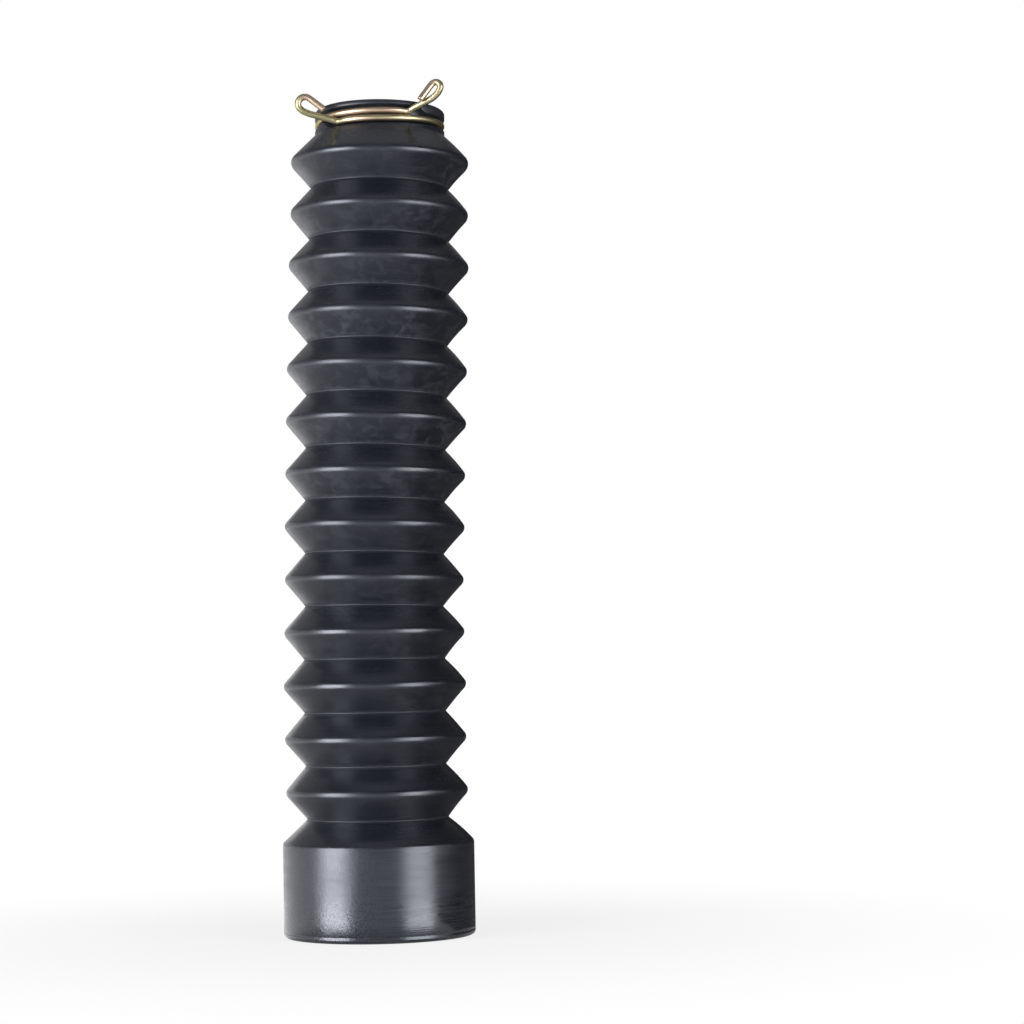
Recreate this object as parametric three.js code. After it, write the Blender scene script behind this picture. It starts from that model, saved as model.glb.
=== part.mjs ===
// Fork gaiter: a moulded rubber bellows that keeps dirt off the upper tube of a motorcycle fork,
// with the sprung wire clip that grips its neck.
// Millimetres, +Z up. The origin is the centre of the cuff's foot, and -Y is the front.
import * as THREE from "three";

// Cuff, which slips over the lower fork leg
const cuffRadius = 30.5;
const cuffWall = 2.5;
const cuffHeight = 29.7;
const footFillet = 1.3;
const shoulderFillet = 1.4;
const shoulderRise = 7.45;

// Folds. Crest and valley radii are those of the sharp corners, before they are rounded.
const foldCount = 13;
const foldPitch = 16.88;
const crestRadius = 29.6;
const valleyRadius = 22.35;
const foldWall = 1.8;
const crestFillet = 2.1;

// Neck, which grips the fork tube. Its height follows from the groove, the plain lands beside it
// and the rim's fillet.
const topConeRise = 8.72;
const neckRadius = 21;
const neckBore = 16;
const boreLength = 9;
const collarLand = 0.1;
const rimLand = 0.06;
const rimFillet = 1.2;
const mouthFillet = 0.6;

// Wire clip, sunk in the neck's groove until it is flush with the rubber. Azimuths are degrees from the
// front, positive to the right. The coil lies almost level, and its runs part where they pass each other.
const wireDiameter = 2.1;
const seatClearance = 0.3;
const lipClearance = 0.45;
const lipRun = 0.35;
const runClearance = 0.37;
const coilStartAngle = -39.3;
const coilEndAngle = 389.7;
const coilTiltHeight = 0.36;
const lowerRunDepth = 0.95;
const dipEndAngle = 95;
const climbStartAngle = 262;
const climbEndAngle = 310;
const grooveOverrunAngle = 7;
const grooveFadeAngle = 12;

// The ears. Each leg runs out from the coil to a knee, and the shank goes on from there to the eye,
// from which the tail comes back in front.
const leftLegLength = 10.8;
const leftShankLength = 1.7;
const leftEyeRadius = 2.2;
const leftTailLength = 5.9;
const rightLegLength = 10.2;
const rightShankLength = 2.6;
const rightEyeRadius = 1.52;
const rightTailLength = 6.2;

// Angles of each ear: where it heads, how its leg rises, how far the knee bends up, how far the eye turns,
// how far the eye's plane leans back, and how far the tail is splayed to the front
const leftAngles = { heading: -80, rise: 13.5, knee: 25, turn: 178, lean: -7.3, splay: 4.5 };
const rightAngles = { heading: 70, rise: 22, knee: 34.7, turn: 185, lean: 7.7, splay: 19.5 };

// Stance of the soft bellows, which sits a little to the left on the cuff and leans to the right higher up
const leanReach = 4.4;
const leanStart = 80;
const leanEnd = 285;
const cuffOffset = 0.45;
const offsetStart = 30;
const offsetEnd = 60;

// Facets
const roundSegments = 40;
const wireSides = 8;
const wireSteps = 220;
const coilSteps = 44;
const eyeSteps = 8;

const wireRadius = wireDiameter / 2;
const upperRunClimb = wireDiameter + runClearance - lowerRunDepth;
const coilRadius = neckRadius - wireRadius;
const grooveRadius = coilRadius - wireRadius - seatClearance;
const grooveHalf = wireRadius + lipClearance;
const grooveBelow = lowerRunDepth + coilTiltHeight + grooveHalf + lipRun;
const grooveAbove = upperRunClimb + coilTiltHeight + grooveHalf + lipRun;
const neckHeight = collarLand + grooveBelow + grooveAbove + rimLand + rimFillet;
const neckBase = cuffHeight + shoulderRise + foldPitch * (foldCount - 0.5) + topConeRise;
const overallHeight = neckBase + neckHeight;
const coilHeight = neckBase + collarLand + grooveBelow;

// A smooth step between two bounds, with its slope.
function easedStep(value, start, end) {
  const share = THREE.MathUtils.clamp((value - start) / (end - start), 0, 1);
  return { height: share * share * (3 - 2 * share), slope: (6 * share * (1 - share)) / (end - start) };
}

// The leaning stance: a point at height z is carried sideways and turned with the axis.
function leanAt(z) {
  const lean = easedStep(z, leanStart, leanEnd);
  const offset = easedStep(z, offsetStart, offsetEnd);
  return {
    x: leanReach * lean.height - cuffOffset * offset.height,
    angle: Math.atan(leanReach * lean.slope),
  };
}

function leaning(point) {
  const { x, angle } = leanAt(point.z);
  return point.set(x + point.x * Math.cos(angle), point.y, point.z - point.x * Math.sin(angle));
}

// A corner of an outline, rounded by an arc of the given radius.
function roundedCorner(before, corner, after, radius, steps) {
  const inward = before.clone().sub(corner).normalize();
  const onward = after.clone().sub(corner).normalize();
  const halfAngle = Math.acos(THREE.MathUtils.clamp(inward.dot(onward), -1, 1)) / 2;
  const bisector = inward.clone().add(onward).normalize();
  const centre = corner.clone().addScaledVector(bisector, radius / Math.sin(halfAngle));
  const reach = radius / Math.tan(halfAngle);
  const from = corner.clone().addScaledVector(inward, reach).sub(centre);
  const to = corner.clone().addScaledVector(onward, reach).sub(centre);
  const sweep = Math.atan2(from.cross(to), from.dot(to));
  return Array.from({ length: steps + 1 }, (_, i) =>
    from.clone().rotateAround(new THREE.Vector2(), (sweep * i) / steps).add(centre),
  );
}

// An outline through corners of [radius, height, fillet, arc steps]; a corner without a fillet stays sharp.
function outline(corners) {
  const points = corners.map(([r, z]) => new THREE.Vector2(r, z));
  return corners.flatMap(([, , fillet, steps], i) => {
    const before = points[(i + points.length - 1) % points.length];
    const after = points[(i + 1) % points.length];
    return fillet ? roundedCorner(before, points[i], after, fillet, steps) : [points[i]];
  });
}

// Height at radius r of the line from p to q, moved sideways into the rubber by a wall.
function insideHeight(r, [pr, pz], [qr, qz], wall) {
  const length = Math.hypot(qr - pr, qz - pz);
  const slope = (qz - pz) / (qr - pr);
  return pz + slope * (r - pr) - (wall * length) / Math.abs(qr - pr);
}

// The gaiter's section, up the outside and back down the inside. Its groove is kept apart, because it
// follows the wire.
function gaiterSection() {
  const lowest = cuffHeight + shoulderRise;
  const crests = Array.from({ length: foldCount }, (_, i) => lowest + foldPitch * (i + 0.5));
  const halfPitch = foldPitch / 2;
  const wallAcross = (foldWall * Math.hypot(halfPitch, crestRadius - valleyRadius)) / halfPitch;
  const innerValley = valleyRadius - wallAcross;
  const innerCrest = crestRadius - wallAcross;
  const cuffBore = cuffRadius - cuffWall;
  const shoulder = insideHeight(cuffBore, [cuffRadius, cuffHeight], [valleyRadius, lowest], foldWall);
  const outerFolds = crests.flatMap((z) => [
    [valleyRadius, z - halfPitch],
    [crestRadius, z, crestFillet, 2],
  ]);
  const innerFolds = [...crests].reverse().flatMap((z) => [
    [innerCrest, z],
    [innerValley, z - halfPitch, foldWall, 1],
  ]);
  const outside = outline([
    [cuffBore, 0],
    [cuffRadius, 0, footFillet, 2],
    [cuffRadius, cuffHeight, shoulderFillet, 2],
    ...outerFolds,
    [neckRadius, neckBase],
    [neckRadius, overallHeight, rimFillet, 3],
    [neckBore, overallHeight, mouthFillet, 2],
    [neckBore, overallHeight - boreLength],
    ...innerFolds,
    [cuffBore, shoulder],
  ]);
  const grooveAt = outside.findIndex((p) => p.y > coilHeight);
  const groove = [
    [neckRadius, coilHeight - grooveHalf - lipRun],
    [grooveRadius, coilHeight - grooveHalf],
    [grooveRadius, coilHeight + grooveHalf],
    [neckRadius, coilHeight + grooveHalf + lipRun],
  ].map(([r, z]) => new THREE.Vector2(r, z));
  return {
    points: [...outside.slice(0, grooveAt), ...groove, ...outside.slice(grooveAt)],
    lowerLip: [grooveAt, grooveAt + 1],
    upperLip: [grooveAt + 2, grooveAt + 3],
  };
}

// How far the coil lies above or below its level at an azimuth. The lower run starts before 0, and the
// upper one ends after 360.
function coilRise(azimuth) {
  const dip = lowerRunDepth * (1 - easedStep(azimuth, 0, dipEndAngle).height);
  const climb = upperRunClimb * easedStep(azimuth, climbStartAngle, climbEndAngle).height;
  return climb - dip + coilTiltHeight * Math.sin(THREE.MathUtils.degToRad(azimuth));
}

// How far each lip of the groove is moved at an azimuth from -180 to 180, so that the wire's runs lie
// between them.
function lipShift(azimuth) {
  const start = coilStartAngle - grooveOverrunAngle;
  const end = coilEndAngle - 360 + grooveOverrunAngle;
  const rise = azimuth < 0 ? coilRise(azimuth + 360) : coilRise(azimuth);
  const lowerShare = azimuth < 0 ? easedStep(azimuth, start - grooveFadeAngle, start).height : 1;
  const upperShare = azimuth < 0 ? 1 : 1 - easedStep(azimuth, end, end + grooveFadeAngle).height;
  return {
    lower: THREE.MathUtils.lerp(rise, coilRise(azimuth), lowerShare),
    upper: THREE.MathUtils.lerp(rise, azimuth < 0 ? rise : coilRise(azimuth + 360), upperShare),
  };
}

function closedLathe(section) {
  const ring = [...section.points, section.points[0]];
  const geometry = new THREE.LatheGeometry(ring, roundSegments);
  geometry.rotateX(Math.PI / 2);
  return geometry;
}

function gaiter() {
  const section = gaiterSection();
  const geometry = closedLathe(section);
  const position = geometry.getAttribute("position");
  const rows = section.points.length + 1;
  const point = new THREE.Vector3();
  for (let i = 0; i < position.count; i++) {
    point.fromBufferAttribute(position, i);
    const azimuth = THREE.MathUtils.radToDeg(Math.atan2(point.x, -point.y));
    const shift = lipShift(azimuth);
    if (section.lowerLip.includes(i % rows)) point.z += shift.lower;
    if (section.upperLip.includes(i % rows)) point.z += shift.upper;
    leaning(point);
    position.setXYZ(i, point.x, point.y, point.z);
  }
  geometry.computeVertexNormals();
  const rubber = new THREE.MeshStandardMaterial({ color: 0x262a31, roughness: 0.42, metalness: 0 });
  const mesh = new THREE.Mesh(geometry, rubber);
  mesh.name = "rubber_gaiter";
  return mesh;
}

function coilPoint(azimuth) {
  const angle = THREE.MathUtils.degToRad(azimuth);
  const height = coilHeight + coilRise(azimuth);
  return new THREE.Vector3(coilRadius * Math.sin(angle), -coilRadius * Math.cos(angle), height);
}

// The directions that an ear is laid out in: along its leg and its shank, across the eye, and to the front.
function earDirections({ heading, rise, knee, lean }) {
  const bearing = THREE.MathUtils.degToRad(heading);
  const side = Math.sign(heading);
  const level = new THREE.Vector3(Math.sin(bearing), -Math.cos(bearing), 0);
  const up = new THREE.Vector3(0, 0, 1);
  const back = up.clone().cross(level).multiplyScalar(side);
  const [leg, shank] = [rise, rise + knee].map(THREE.MathUtils.degToRad).map((climb) =>
    level.clone().multiplyScalar(Math.cos(climb)).addScaledVector(up, Math.sin(climb)),
  );
  const across = shank.clone().cross(back).multiplyScalar(side);
  across.applyAxisAngle(shank, -side * THREE.MathUtils.degToRad(lean));
  return { leg, shank, across, front: shank.clone().cross(across).multiplyScalar(side) };
}

// An ear from its root on the coil outwards: the leg, the shank, the eye's arc and the tail.
function earPoints(root, angles, legLength, shankLength, eyeRadius, tailLength) {
  const { leg, shank, across, front } = earDirections(angles);
  const turn = THREE.MathUtils.degToRad(angles.turn);
  const splay = Math.tan(THREE.MathUtils.degToRad(angles.splay));
  const knee = root.clone().addScaledVector(leg, legLength);
  const centre = knee.clone().addScaledVector(shank, shankLength).addScaledVector(across, eyeRadius);
  const eye = Array.from({ length: eyeSteps + 1 }, (_, i) => {
    const share = i / eyeSteps;
    return centre
      .clone()
      .addScaledVector(across, -eyeRadius * Math.cos(turn * share))
      .addScaledVector(shank, eyeRadius * Math.sin(turn * share))
      .addScaledVector(front, 0.5 * eyeRadius * turn * splay * share * share);
  });
  const homeward = shank.clone().multiplyScalar(Math.cos(turn)).addScaledVector(across, Math.sin(turn));
  homeward.addScaledVector(front, splay).normalize();
  const stepped = (from, direction, length, shares) =>
    shares.map((share) => from.clone().addScaledVector(direction, share * length));
  return [
    ...stepped(root, leg, legLength, [0.25, 0.55, 0.85]),
    ...stepped(knee, shank, shankLength, [0.4]),
    ...eye,
    ...stepped(eye[eyeSteps], homeward, tailLength, [0.3, 0.65, 1]),
  ];
}

function wireClip() {
  const coil = Array.from({ length: coilSteps + 1 }, (_, i) =>
    coilPoint(THREE.MathUtils.lerp(coilStartAngle, coilEndAngle, i / coilSteps)),
  );
  const left = earPoints(
    coil[0], leftAngles, leftLegLength, leftShankLength, leftEyeRadius, leftTailLength,
  );
  const right = earPoints(
    coil[coilSteps], rightAngles, rightLegLength, rightShankLength, rightEyeRadius, rightTailLength,
  );
  const points = [...left.reverse(), ...coil, ...right].map(leaning);
  const path = new THREE.CatmullRomCurve3(points, false, "centripetal");
  const section = new THREE.Shape().absarc(0, 0, wireRadius, 0, 2 * Math.PI);
  const geometry = new THREE.ExtrudeGeometry(section, {
    steps: wireSteps,
    curveSegments: wireSides / 2,
    bevelEnabled: false,
    extrudePath: path,
  });
  const plating = new THREE.MeshStandardMaterial({ color: 0xc2ad72, roughness: 0.28, metalness: 1 });
  const mesh = new THREE.Mesh(geometry, plating);
  mesh.name = "wire_clip";
  return mesh;
}

const forkGaiter = new THREE.Group();
forkGaiter.add(gaiter(), wireClip());

export default forkGaiter;
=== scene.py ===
import logging
import math
from dataclasses import dataclass
from enum import Enum

import bmesh
import bpy
from mathutils import Euler, Matrix, Vector


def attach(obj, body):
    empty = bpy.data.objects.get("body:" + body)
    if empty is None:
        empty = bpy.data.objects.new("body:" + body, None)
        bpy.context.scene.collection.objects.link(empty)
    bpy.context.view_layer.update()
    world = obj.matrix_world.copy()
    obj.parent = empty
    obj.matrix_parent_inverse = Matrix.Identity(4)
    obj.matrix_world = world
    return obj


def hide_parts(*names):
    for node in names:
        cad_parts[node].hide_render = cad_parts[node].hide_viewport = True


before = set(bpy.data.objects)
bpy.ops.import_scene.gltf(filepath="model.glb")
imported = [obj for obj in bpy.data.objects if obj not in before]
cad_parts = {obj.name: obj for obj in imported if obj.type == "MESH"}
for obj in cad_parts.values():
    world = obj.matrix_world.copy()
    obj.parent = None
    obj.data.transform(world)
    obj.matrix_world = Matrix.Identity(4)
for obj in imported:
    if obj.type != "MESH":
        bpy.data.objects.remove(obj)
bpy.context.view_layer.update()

# A fork gaiter in moulded rubber, and the sprung wire clip on its neck. Sizes are millimetres and
# degrees, and become metres where a mesh is finished. The studio and the depths of relief are in
# metres. +Z goes up the fork, -Y is the front, and the origin is the foot's centre.

log = logging.getLogger("fork_gaiter")
MM = 0.001
UP = Vector((0, 0, 1))
BLACK = (0, 0, 0, 1)
WHITE = (1, 1, 1, 1)
Colour = tuple[float, float, float, float]
Socket = bpy.types.NodeSocket


def eased(value: float, start: float, end: float) -> float:
    """Smooth step from 0 at start to 1 at end.

    Args:
        value: Where the step is read.
        start: Where it leaves 0.
        end: Where it reaches 1.

    Returns:
        A share between 0 and 1.
    """
    share = min(max((value - start) / (end - start), 0.0), 1.0)
    return share * share * (3 - 2 * share)


def eased_slope(value: float, start: float, end: float) -> float:
    """Slope of the smooth step, for the same arguments.

    Args:
        value: Where the slope is read.
        start: Where the step leaves 0.
        end: Where it reaches 1.

    Returns:
        The slope per unit of value.
    """
    share = min(max((value - start) / (end - start), 0.0), 1.0)
    return 6 * share * (1 - share) / (end - start)


@dataclass(frozen=True)
class Stance:
    """How the soft bellows stands: a little left above its cuff, then leaning to the right."""

    reach: float = 4.4
    start: float = 80.0
    end: float = 285.0
    cuff_offset: float = 0.45
    offset_start: float = 30.0
    offset_end: float = 60.0

    def settle(self, point: Vector) -> Vector:
        """Carries a point sideways and turns it with the leaning axis.

        Args:
            point: A place on the upright gaiter, in millimetres.

        Returns:
            Its place on the leaning one.
        """
        lean = self.reach * eased(point.z, self.start, self.end)
        offset = self.cuff_offset * eased(point.z, self.offset_start, self.offset_end)
        angle = math.atan(self.reach * eased_slope(point.z, self.start, self.end))
        return Vector((
            lean - offset + point.x * math.cos(angle),
            point.y,
            point.z - point.x * math.sin(angle),
        ))


@dataclass(frozen=True)
class ClipSeat:
    """The clip's coil and the groove that it lies in, which the rubber and the wire share."""

    wire_diameter: float = 2.1
    neck_radius: float = 21.0
    coil_height: float = 260.13
    coil_start: float = -39.3
    coil_end: float = 389.7
    tilt: float = 0.36
    dip: float = 0.95
    dip_end: float = 95.0
    climb: float = 1.52
    climb_start: float = 262.0
    climb_end: float = 310.0
    seat_clearance: float = 0.3
    lip_clearance: float = 0.45
    lip_run: float = 0.35
    overrun: float = 7.0
    fade: float = 12.0

    @property
    def wire_radius(self) -> float:
        """Half the wire's diameter."""
        return self.wire_diameter / 2

    @property
    def coil_radius(self) -> float:
        """Radius of the coil's centreline, which leaves the wire flush with the neck."""
        return self.neck_radius - self.wire_radius

    @property
    def groove_radius(self) -> float:
        """Radius of the groove's floor."""
        return self.coil_radius - self.wire_radius - self.seat_clearance

    @property
    def groove_half(self) -> float:
        """Half the height of the groove's floor, before its lips follow the wire."""
        return self.wire_radius + self.lip_clearance

    def rise(self, azimuth: float) -> float:
        """How far the coil lies above its level.

        Args:
            azimuth: Degrees along the wire from the front towards the right.

        Returns:
            Millimetres, negative where the coil dips.
        """
        dip = self.dip * (1 - eased(azimuth, 0, self.dip_end))
        climb = self.climb * eased(azimuth, self.climb_start, self.climb_end)
        return climb - dip + self.tilt * math.sin(math.radians(azimuth))

    def lips(self, azimuth: float) -> tuple[float, float]:
        """How far the groove's lips move, so that the wire's runs lie between them.

        Args:
            azimuth: Degrees from -180 to 180.

        Returns:
            The lower lip's move and the upper lip's.
        """
        start = self.coil_start - self.overrun
        end = self.coil_end - 360 + self.overrun
        if azimuth < 0:
            single = self.rise(azimuth + 360)
            share = eased(azimuth, start - self.fade, start)
            return single + (self.rise(azimuth) - single) * share, single
        single = self.rise(azimuth)
        share = 1 - eased(azimuth, end, end + self.fade)
        return single, single + (self.rise(azimuth + 360) - single) * share

    def on_coil(self, azimuth: float) -> Vector:
        """The coil's centreline at an azimuth, on the upright gaiter."""
        angle = math.radians(azimuth)
        return Vector((
            self.coil_radius * math.sin(angle),
            -self.coil_radius * math.cos(angle),
            self.coil_height + self.rise(azimuth),
        ))


@dataclass(frozen=True)
class Pattern:
    """Cloudy noise around 0.5, by the clouds in a unit along each axis and its finer layers."""

    scale: tuple[float, float, float]
    detail: float = 3.0
    roughness: float = 0.5
    distortion: float = 0.0


@dataclass(frozen=True)
class Ramp:
    """A smooth change of level, from one value of what is read to another."""

    start: float
    end: float
    before: float = 0.0
    after: float = 1.0


class Sheet:
    """A material's node tree, with short calls for the nodes that the finishes share."""

    def __init__(self, name: str) -> None:
        """Makes an empty material with a surface shader.

        Args:
            name: The material's name.
        """
        self.material = bpy.data.materials.new(name)
        self.material.use_nodes = True
        self.tree = self.material.node_tree
        self.tree.nodes.clear()
        self.output = self.node("ShaderNodeOutputMaterial")
        self.shader = self.node("ShaderNodeBsdfPrincipled")
        self.link(self.shader.outputs["BSDF"], self.output.inputs["Surface"])

    def node(self, kind: str) -> bpy.types.Node:
        """Adds a node."""
        return self.tree.nodes.new(kind)

    def link(self, source: Socket, target: Socket) -> None:
        """Joins two sockets."""
        self.tree.links.new(source, target)

    def feed(self, target: Socket, value: Socket | float | Colour) -> None:
        """Links a socket, or sets a plain value.

        Args:
            target: The input to fill.
            value: Another node's output, a number or a colour.
        """
        if isinstance(value, Socket):
            self.link(value, target)
        else:
            target.default_value = value

    def set(self, name: str, value: Socket | float | Colour) -> None:
        """Fills one of the surface shader's own inputs."""
        self.feed(self.shader.inputs[name], value)

    def attribute(self, name: str, kind: str = "Fac") -> Socket:
        """Reads one of the piece's own attributes.

        Args:
            name: The attribute.
            kind: The node's output, Fac for a number or Vector for a place.

        Returns:
            The output.
        """
        node = self.node("ShaderNodeAttribute")
        node.attribute_name = name
        return node.outputs[kind]

    def axis(self, place: Socket, name: str) -> Socket:
        """One of a place's three numbers.

        Args:
            place: The place.
            name: X, Y or Z.

        Returns:
            The number.
        """
        node = self.node("ShaderNodeSeparateXYZ")
        self.link(place, node.inputs[0])
        return node.outputs[name]

    def noise(self, place: Socket, pattern: Pattern) -> Socket:
        """Reads a cloudy pattern.

        Args:
            place: Where it is read.
            pattern: Its clouds.

        Returns:
            The pattern's value.
        """
        scaled = self.node("ShaderNodeMapping")
        self.link(place, scaled.inputs["Vector"])
        scaled.inputs["Scale"].default_value = pattern.scale
        node = self.node("ShaderNodeTexNoise")
        self.link(scaled.outputs["Vector"], node.inputs["Vector"])
        node.inputs["Scale"].default_value = 1.0
        node.inputs["Detail"].default_value = pattern.detail
        node.inputs["Roughness"].default_value = pattern.roughness
        node.inputs["Distortion"].default_value = pattern.distortion
        return node.outputs["Fac"]

    def reckon(self, operation: str, a: Socket | float, b: Socket | float = 0.0) -> Socket:
        """Reckons with one or two values.

        Args:
            operation: The Math node's operation.
            a: First value.
            b: Second value.

        Returns:
            The result.
        """
        node = self.node("ShaderNodeMath")
        node.operation = operation
        self.feed(node.inputs[0], a)
        self.feed(node.inputs[1], b)
        return node.outputs[0]

    def times(self, a: Socket | float, b: Socket | float) -> Socket:
        """The product of two values."""
        return self.reckon("MULTIPLY", a, b)

    def plus(self, first: Socket | float, *others: Socket | float) -> Socket:
        """The sum of several values.

        Args:
            first: The first value.
            *others: The values added to it.

        Returns:
            The sum.
        """
        total = first
        for other in others:
            total = self.reckon("ADD", total, other)
        return total

    def ramp(self, value: Socket, ramp: Ramp) -> Socket:
        """Maps a value through a ramp and holds it past the ramp's ends.

        Args:
            value: What is mapped.
            ramp: The change of level.

        Returns:
            The level.
        """
        node = self.node("ShaderNodeMapRange")
        node.interpolation_type = "SMOOTHSTEP"
        self.link(value, node.inputs["Value"])
        node.inputs["From Min"].default_value = ramp.start
        node.inputs["From Max"].default_value = ramp.end
        node.inputs["To Min"].default_value = ramp.before
        node.inputs["To Max"].default_value = ramp.after
        return node.outputs["Result"]

    def blend(self, share: Socket, a: Socket | Colour, b: Socket | Colour) -> Socket:
        """Blends two colours.

        Args:
            share: How much of the second.
            a: First colour.
            b: Second colour.

        Returns:
            The blended colour.
        """
        node = self.node("ShaderNodeMix")
        node.data_type = "RGBA"
        self.feed(node.inputs["Factor"], share)
        self.feed(node.inputs["A"], a)
        self.feed(node.inputs["B"], b)
        return node.outputs["Result"]

    def bump(self, height: Socket, depth: float, normal: Socket | None = None) -> Socket:
        """Relief.

        Args:
            height: The relief's height, from 0 to 1.
            depth: Metres that a height of 1 stands for.
            normal: A coarser relief that this one is added to.

        Returns:
            The normal.
        """
        node = self.node("ShaderNodeBump")
        node.inputs["Distance"].default_value = depth
        self.link(height, node.inputs["Height"])
        if normal is not None:
            self.link(normal, node.inputs["Normal"])
        return node.outputs["Normal"]


@dataclass(frozen=True)
class RubberZones:
    """Where on the moulding the rubber is looked at, as shares from 0 to 1 unless said otherwise."""

    place: Socket  # millimetres, as if the gaiter stood upright
    height: Socket  # millimetres
    edge: Socket  # -1 in a valley, 1 on a crest
    under: Socket
    cuff: Socket
    left: Socket  # left of the parting line
    near: Socket  # close to the parting line
    ridge: Socket  # on the parting line
    crest: Socket
    grained_cuff: Socket  # the cuff's left side, where the mould is grained
    hairlines: Socket
    grain: Socket
    pebble: Socket


@dataclass(frozen=True)
class MouldedRubber:
    """Satin black rubber from a two-part mould: fine grain, tool lines, faint blooming, a parting line, and
    painted light on the folds' undersides.
    """

    dark: Colour = (0.0060, 0.0078, 0.0118, 1)
    # A paler rubber colour for the blooming and the texture, also used as painted light on the folds'
    # undersides.
    bloom_and_painted_light: Colour = (0.0310, 0.0350, 0.0430, 1)
    scuff: Colour = (0.0260, 0.0290, 0.0350, 1)
    gloss_tint: Colour = (0.86, 0.89, 1.0, 1)
    specular: float = 0.6

    left_zone: Ramp = Ramp(-6, 2, 1, 0)
    near_zone: Ramp = Ramp(1.5, 9, 1, 0)
    ridge_zone: Ramp = Ramp(0.05, 0.35, 1, 0)
    crest_zone: Ramp = Ramp(0.3, 0.8)

    wisps: Pattern = Pattern((0.2, 0.2, 0.28), 5, 0.6, 0.8)
    wisp_ramp: Ramp = Ramp(0.45, 0.64)
    drift: Pattern = Pattern((0.035, 0.035, 0.035), 2)
    drift_ramp: Ramp = Ramp(0.35, 0.65, 0.35, 1)
    # Painted light: the pale colour is stronger on undersides as painted light from the floor, and weaker
    # low down as painted shade near the floor.
    painted_shade_low_down: Ramp = Ramp(60, 200, 0.35, 1)
    painted_underside_light: float = 0.85
    haze_least: float = 0.12

    hairlines: Pattern = Pattern((0.07, 0.07, 2.4), 2, 0.6)
    hairline_ramp: Ramp = Ramp(0.36, 0.64)
    hairline_depth: float = 0.00003
    hairline_reach: float = 1.15
    pebble: Pattern = Pattern((1.5, 1.5, 1.5), 2)
    pebble_ramp: Ramp = Ramp(0.38, 0.62)
    pebble_depth: float = 0.00004
    texture_least: float = 0.1
    texture_cuff: float = 0.3
    texture_dull: float = 0.1
    grain: Pattern = Pattern((2.6, 2.6, 2.6), 2, 0.6)
    grain_least: float = 0.35
    grain_depth: float = 0.00002
    ridge_depth: float = 0.00002
    worn_ramp: Ramp = Ramp(0.4, 0.65, 0.05, 0.4)

    clouds: Pattern = Pattern((0.14, 0.14, 0.14), 3, 0.5, 0.5)
    smears: Pattern = Pattern((0.03, 0.03, 0.35), 3)
    dull_ramp: Ramp = Ramp(0.32, 0.68, 0.20, 0.28)
    patches: Pattern = Pattern((0.05, 0.05, 0.05), 2)
    patch_ramp: Ramp = Ramp(0.4, 0.62, 0.35, 1)
    crest_dull: float = 0.24
    parting_dull: float = 0.14
    under_dull: float = 0.16
    cuff_dull: Ramp = Ramp(3, 20, -0.01, 0.08)
    neck_dull: Ramp = Ramp(255, 262, 0, 0.22)
    valley_dull: Ramp = Ramp(-0.95, -0.4, 0.25, 0)

    def _zones(self, sheet: Sheet) -> RubberZones:
        """Reads the gaiter's own attributes, which are in millimetres, and the shared patterns.

        Args:
            sheet: The material.

        Returns:
            The zones and patterns.
        """
        place = sheet.attribute("unbent", "Vector")
        parting = sheet.attribute("parting")
        edge = sheet.attribute("fold_edge")
        cuff = sheet.attribute("cuff")
        left = sheet.ramp(parting, self.left_zone)
        distance = sheet.reckon("ABSOLUTE", parting)
        return RubberZones(
            place=place,
            height=sheet.axis(place, "Z"),
            edge=edge,
            under=sheet.attribute("underside"),
            cuff=cuff,
            left=left,
            near=sheet.ramp(distance, self.near_zone),
            ridge=sheet.ramp(distance, self.ridge_zone),
            crest=sheet.ramp(edge, self.crest_zone),
            grained_cuff=sheet.times(cuff, left),
            hairlines=sheet.noise(place, self.hairlines),
            grain=sheet.noise(place, self.grain),
            pebble=sheet.noise(place, self.pebble),
        )

    def _texture(self, sheet: Sheet, zones: RubberZones) -> Socket:
        """Pebbles on the cuff's left side and tool lines elsewhere, strongest on the cuff.

        Args:
            sheet: The material.
            zones: Where it is looked at.

        Returns:
            The texture's strength.
        """
        elsewhere = sheet.reckon("SUBTRACT", 1.0, zones.grained_cuff)
        texture = sheet.plus(
            sheet.times(sheet.ramp(zones.pebble, self.pebble_ramp), zones.grained_cuff),
            sheet.times(sheet.ramp(zones.hairlines, self.hairline_ramp), elsewhere),
        )
        strength = sheet.plus(sheet.times(zones.cuff, self.texture_cuff), self.texture_least)
        return sheet.times(texture, strength)

    def _colour(self, sheet: Sheet, zones: RubberZones, texture: Socket) -> Socket:
        """Near black, with faint blooming in clouds and in the texture, worn crests, and painted light: the
        pale colour is stronger on the folds' undersides as painted light from the floor, and fades towards
        the bottom as painted shade.

        Args:
            sheet: The material.
            zones: Where it is looked at.
            texture: The surface's texture.

        Returns:
            The colour.
        """
        wisps = sheet.ramp(sheet.noise(zones.place, self.wisps), self.wisp_ramp)
        drift = sheet.ramp(sheet.noise(zones.place, self.drift), self.drift_ramp)
        # Painted light: undersides get more of the pale colour as light from the floor, and the lowest
        # folds less as painted shade.
        under = sheet.plus(sheet.times(zones.under, self.painted_underside_light), self.haze_least)
        bloom_and_painted_light_share = sheet.times(sheet.times(wisps, drift), under)
        bloom_and_painted_light_share = sheet.times(bloom_and_painted_light_share, sheet.ramp(zones.height, self.painted_shade_low_down))
        colour = sheet.blend(bloom_and_painted_light_share, self.dark, self.bloom_and_painted_light)
        colour = sheet.blend(texture, colour, self.bloom_and_painted_light)
        worn = sheet.times(zones.crest, sheet.ramp(zones.grain, self.worn_ramp))
        return sheet.blend(worn, colour, self.scuff)

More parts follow.
